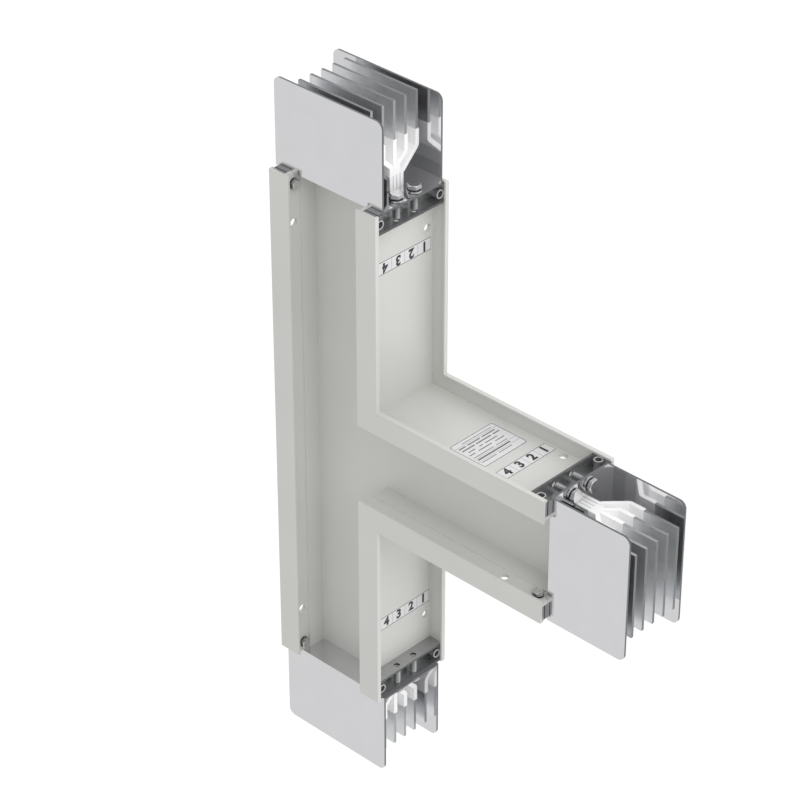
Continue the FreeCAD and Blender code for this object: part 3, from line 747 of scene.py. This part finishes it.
def add_patch(bm, outline, bottom, height, layer):
    """A thin raised patch with a flat outline, in one of the label's materials."""
    lower = [bm.verts.new((x, y, bottom)) for x, y in outline]
    upper = [bm.verts.new((x, y, bottom + height)) for x, y in outline]
    faces = [bm.faces.new(upper), bm.faces.new(lower[::-1])]
    for index in range(len(outline)):
        after = (index + 1) % len(outline)
        faces.append(bm.faces.new((lower[index], lower[after], upper[after], upper[index])))
    for face in faces:
        face.material_index = layer


def rectangle(left, right, low, high):
    return [(left, low), (right, low), (right, high), (left, high)]


def rounded(width, height, corner, steps=6):
    points = []
    for x, y, start in ((1, -1, -90), (1, 1, 0), (-1, 1, 90), (-1, -1, 180)):
        middle = (x * (width / 2 - corner), y * (height / 2 - corner))
        for step in range(steps + 1):
            turn = math.radians(start + 90 * step / steps)
            points.append((middle[0] + corner * math.cos(turn), middle[1] + corner * math.sin(turn)))
    return points


def add_band(bm, outer, inner, layer):
    """A thin printed line between two outlines with the same number of points."""
    low, high = LABEL_FILM, LABEL_FILM + INK_FILM
    rings = [[Vector((x, y, level)) for x, y in outline]
             for outline, level in ((outer, low), (outer, high), (inner, high), (inner, low))]
    before = set(bm.faces)
    add_rings(bm, rings + rings[:1], close_ends=False)
    for face in set(bm.faces) - before:
        face.material_index = layer


def add_digit(bm, digit, x):
    text = bpy.data.curves.new("digit", "FONT")
    text.body = digit
    text.size = DIGIT_SIZE
    text.offset = DIGIT_WEIGHT
    text.align_x = "CENTER"
    text.align_y = "CENTER"
    holder = bpy.data.objects.new("digit", text)
    shape = bpy.data.meshes.new_from_object(holder)
    shape.transform(Matrix.Translation((x, 0.0, LABEL_FILM + INK_FILM)))
    before = set(bm.faces)
    bm.from_mesh(shape)
    for face in set(bm.faces) - before:
        face.material_index = INK_LAYER
    bpy.data.objects.remove(holder)
    bpy.data.curves.remove(text)
    bpy.data.meshes.remove(shape)


def stick_label(name, label, bm):
    across, up = Vector(label["across"]), Vector(label["up"])
    turn = Matrix((across, up, across.cross(up))).transposed().to_4x4()
    bm.transform(Matrix.Scale(MM, 4) @ Matrix.Translation(label["middle"]) @ turn)
    mesh = bpy.data.meshes.new(name)
    bm.to_mesh(mesh)
    bm.free()
    for material in (label_film, label_ink, row_ink):
        mesh.materials.append(material)
    piece = bpy.data.objects.new(name, mesh)
    scene.collection.objects.link(piece)
    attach(piece, "root")


for name, strip in STRIPS.items():
    length, width = strip["size"]
    count = len(strip["cells"])
    bm = bmesh.new()
    add_patch(bm, rectangle(-length / 2, length / 2, -width / 2, width / 2), 0.0, LABEL_FILM, FILM_LAYER)
    for edge in (-1, 1):
        line = edge * (width / 2 - LINE_WIDTH)
        add_patch(bm, rectangle(-length / 2, length / 2, line - LINE_WIDTH / 2, line + LINE_WIDTH / 2),
                  LABEL_FILM, INK_FILM, INK_LAYER)
    for index in range(count + 1):
        middle = length * (index / count - 0.5) * CELL_SHARE
        add_patch(bm, rectangle(middle - HAIRLINE_HALF, middle + HAIRLINE_HALF,
                                CELL_MARGIN - width / 2, width / 2 - CELL_MARGIN),
                  LABEL_FILM, INK_FILM, ROW_LAYER)
    for index, digit in enumerate(strip["cells"]):
        add_digit(bm, digit, length * ((index + 0.5) / count - 0.5))
    stick_label(name, strip, bm)

length, width = RATING_PLATE["size"]
bm = bmesh.new()
add_patch(bm, rounded(length, width, RATING_PLATE["corner"]), 0.0, LABEL_FILM, FILM_LAYER)
add_band(bm, rounded(length - FRAME_OUTSIDE, width - FRAME_OUTSIDE, RATING_PLATE["corner"]),
         rounded(length - FRAME_INSIDE, width - FRAME_INSIDE, RATING_PLATE["corner"] - FRAME_CORNER_CUT),
         INK_LAYER)
for level in RATING_RULES:
    add_patch(bm, rectangle(RULE_MARGIN - length / 2, length / 2 - RULE_MARGIN,
                            level - HAIRLINE_HALF, level + HAIRLINE_HALF),
              LABEL_FILM, INK_FILM, ROW_LAYER)
for level, height, spans in RATING_ROWS:
    for left, right in spans:
        add_patch(bm, rectangle(left, right, level - height / 2, level + height / 2),
                  LABEL_FILM, INK_FILM, ROW_LAYER)
stick_label("rating_plate", RATING_PLATE, bm)
